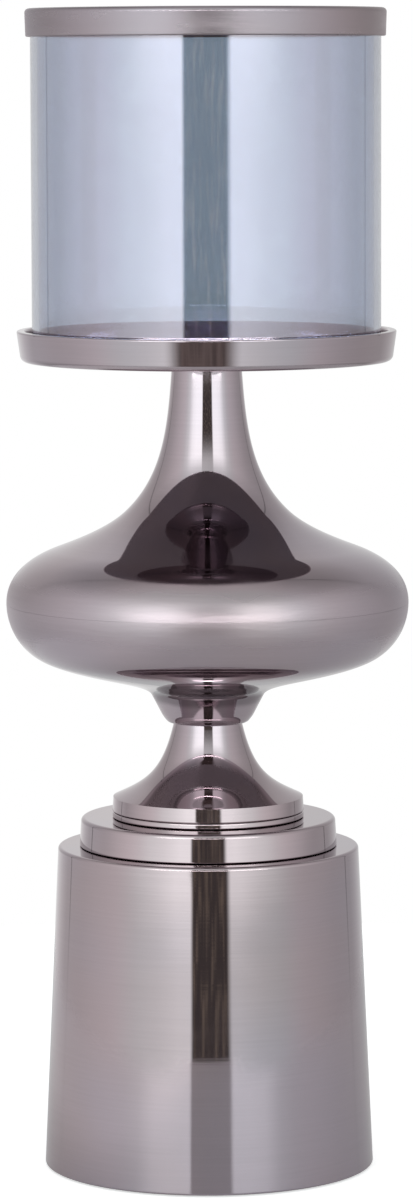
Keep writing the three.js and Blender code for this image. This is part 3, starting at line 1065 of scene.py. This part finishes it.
# The table. The camera sees it as a pale surface with a glow, which keeps the object's shadow, and
# the metal sees it as glossy white with a painted glow on its left, which stands in for window
# light. Its rim fades out at the sides, and inside the drum's foot it lets light through to show
# the fastening.
TABLE_RADIUS = 0.62
TABLE_COLOUR = (0.79, 0.78, 0.79, 1)
TABLE_PALE = (0.72, 0.72, 0.72, 1)
TABLE_GLOW = 0.62
# Painted light: how strongly the table's left side glows, in place of window light
PAINTED_WINDOW_GLOW = 0.17
PAINTED_GLOW_CHANGE = (-0.05, -0.25)
RIM_WIDTH = 0.16
RIM_SIDES = (0.12, 0.3)
COVERED_RADIUS = 0.06


def make_table():
    """A round, glossy white table top."""
    mesh = bmesh.new()
    bmesh.ops.create_circle(mesh, cap_ends=True, segments=AROUND, radius=TABLE_RADIUS)
    data = bpy.data.meshes.new("table top")
    mesh.to_mesh(data)
    mesh.free()
    material, tree, shader = new_material("white table")
    shader.inputs["Base Color"].default_value = TABLE_COLOUR
    shader.inputs["Roughness"].default_value = 0.06
    shader.inputs["IOR"].default_value = 1.1
    x, y, _ = put(tree, "SeparateXYZ", object_place(tree)).outputs
    # Painted light: the left side of the table glows, as if a window lit it.
    painted_glow_strength = product(tree, smooth_step(tree, x, *PAINTED_GLOW_CHANGE), PAINTED_WINDOW_GLOW)
    painted_glow = put(tree, "Emission", (1, 1, 1, 1), painted_glow_strength)
    lit = put(tree, "AddShader", shader.outputs[0], painted_glow.outputs[0])
    pale = put(tree, "BsdfDiffuse", TABLE_PALE)
    glow = put(tree, "Emission", (1, 1, 1, 1), TABLE_GLOW)
    seen = put(tree, "AddShader", pale.outputs[0], glow.outputs[0])
    by_camera = put(tree, "LightPath").outputs["Is Camera Ray"]
    top = put(tree, "MixShader", by_camera, lit.outputs[0], seen.outputs[0])
    radius = from_axis(tree, x, y)
    rim = product(
        tree,
        smooth_step(tree, radius, TABLE_RADIUS - RIM_WIDTH, TABLE_RADIUS),
        smooth_step(tree, calc(tree, "ABSOLUTE", x), *RIM_SIDES),
    )
    clear = calc(tree, "MAXIMUM", rim, calc(tree, "LESS_THAN", radius, COVERED_RADIUS))
    hidden = calc(tree, "MAXIMUM", put(tree, "NewGeometry").outputs["Backfacing"], clear)
    both = put(tree, "MixShader", hidden, top.outputs[0], put(tree, "BsdfTransparent").outputs[0])
    tree.links.new(both.outputs[0], tree.nodes["Material Output"].inputs["Surface"])
    data.materials.append(material)
    table = bpy.data.objects.new("table top", data)
    bpy.context.scene.collection.objects.link(table)


make_camera()
make_room()
make_table()

# Finishes: the bulb has a satin band round its widest part and a darker one above its collar,
# which is painted shade, and inside the tray's rim the plate is darkened as painted shade
MIRROR = 0.03
MIRROR_MARKS = (0.0000008, 0.0009)
DRUM_MARKS = (0.0000017, 0.0011)
RING_MARKS = (0.000004, 0.0006)
WAVE_DEPTH = 0.00002
bulb_bottom = low("lower_bulb")
bulb_bands = [
    (bulb_bottom + BULB_EQUATOR[1], 0.006, 0.014, 0.35, 1.0, 0.0001),
    # The darker band above the collar is painted shade.
    (bulb_bottom + 0.0165, 0.0055, 0.003, 0.04, 0.6, 0),
]
# Painted shade: the tray's plate is darker inside its rim.
tray_painted_shade = (reach("tray") - TRAY_RIM_WALL, 0.45)
polished = nickel("polished dark nickel", MIRROR, MIRROR_MARKS, WAVE_DEPTH)
bulb_finish = nickel("bulb nickel", MIRROR, MIRROR_MARKS, WAVE_DEPTH, bands=bulb_bands)
tray_finish = nickel("tray nickel", MIRROR, MIRROR_MARKS, WAVE_DEPTH, core=tray_painted_shade)
satin = nickel("satin dark nickel", MIRROR, DRUM_MARKS, WAVE_DEPTH)
ring_finish = nickel("ring nickel", 0.22, RING_MARKS, 0, anisotropy=0.9, reflectance=0.78)
zinc = zinc_steel()
silicone = clear_silicone()
felt = black_felt()

make_drum(satin)
for number in range(1, 5):
    make_felt_pad(number, felt)
make_step_disc(polished)
make_foot_plate(polished)
make_foot(polished)
make_lower_bulb(bulb_finish)
make_upper_bulb(bulb_finish)
make_hub(zinc)
make_tray(tray_finish)
make_tie_rod(zinc)
make_washer("flat_washer", "base_washer", ROD_HOLE, "stand", "zinc_steel", zinc)
make_lock_washer(zinc)
make_nut(zinc)
gasket_inner = reach("glass_cylinder") - GLASS_WALL + FIT
make_washer("tray_gasket", "glass_gasket", gasket_inner, "stand", "silicone", silicone)
make_glass(smoked_glass())
make_washer("channel_gasket", "ring_gasket", gasket_inner, "cap", "silicone", silicone)
make_ring(ring_finish)
